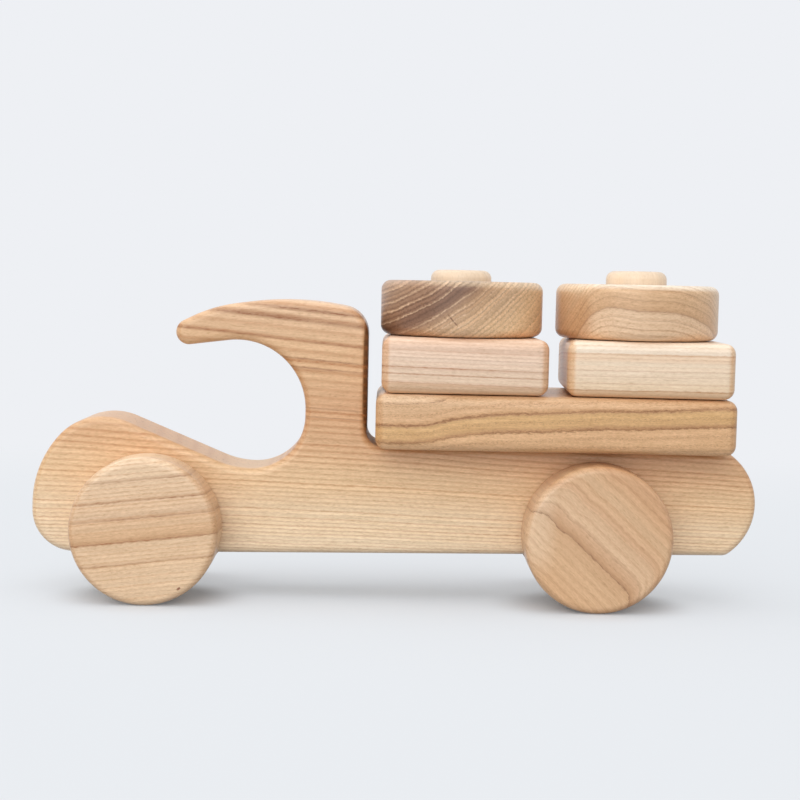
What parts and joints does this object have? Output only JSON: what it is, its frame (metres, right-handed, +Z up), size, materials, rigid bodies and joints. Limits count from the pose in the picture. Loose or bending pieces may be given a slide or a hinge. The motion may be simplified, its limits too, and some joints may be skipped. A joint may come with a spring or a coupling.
{
  "type": "toy truck with stacking blocks",
  "caption": "Wooden flatbed toy truck: a board body with an open cab window and hooked roof, turning wheels, and square and round blocks that lift off upright pegs.",
  "frame": {"origin": "on the floor, at the middle of the body's length and thickness, where the wheels stand", "axes": "+X from the nose to the tail, +Y across the truck away from the viewer of its left side, +Z up"},
  "size_m": [0.296, 0.0752, 0.1366],
  "materials": {
    "body_ash": "sanded and oiled, satin",
    "wheel_ash": "sanded and oiled, satin",
    "rear_wheel_ash": "sanded and oiled, satin",
    "pale_dowel": "sanded and oiled, satin",
    "golden_block": "sanded and oiled, satin",
    "pink_block": "sanded and oiled, satin",
    "cream_block": "sanded and oiled, satin",
    "brown_disc": "sanded and oiled, satin",
    "tan_disc": "sanded and oiled, satin"
  },
  "bodies": {
    "chassis": {"chassis_body": "body_ash", "front_peg": "pale_dowel", "rear_peg": "pale_dowel"},
    "front_wheels": {"front_axle": "pale_dowel", "front_wheel_near": "wheel_ash", "front_wheel_far": "wheel_ash"},
    "rear_wheels": {"rear_axle": "pale_dowel", "rear_wheel_near": "rear_wheel_ash", "rear_wheel_far": "rear_wheel_ash"},
    "long_block": {"long_block": "golden_block"},
    "front_square": {"front_square_block": "pink_block"},
    "rear_square": {"rear_square_block": "cream_block"},
    "front_disc": {"front_disc": "brown_disc"},
    "rear_disc": {"rear_disc": "tan_disc"}
  },
  "joints": [
    {"name": "front_axle_spin", "type": "hinge", "parent": "chassis", "child": "front_wheels", "pos_m": [-0.0994, 0, 0.02961], "axis": [0, 1, 0], "continuous": true},
    {"name": "rear_axle_spin", "type": "hinge", "parent": "chassis", "child": "rear_wheels", "pos_m": [0.0813, 0, 0.02961], "axis": [0, 1, 0], "continuous": true},
    {"name": "long_block_lift", "type": "slide", "parent": "chassis", "child": "long_block", "axis": [0, 0, 1], "range_m": [0, 0.08]},
    {"name": "front_square_lift", "type": "slide", "parent": "long_block", "child": "front_square", "axis": [0, 0, 1], "range_m": [0, 0.055]},
    {"name": "rear_square_lift", "type": "slide", "parent": "long_block", "child": "rear_square", "axis": [0, 0, 1], "range_m": [0, 0.055]},
    {"name": "front_disc_lift", "type": "slide", "parent": "front_square", "child": "front_disc", "axis": [0, 0, 1], "range_m": [0, 0.035]},
    {"name": "rear_disc_lift", "type": "slide", "parent": "rear_square", "child": "rear_disc", "axis": [0, 0, 1], "range_m": [0, 0.035]}
  ]
}
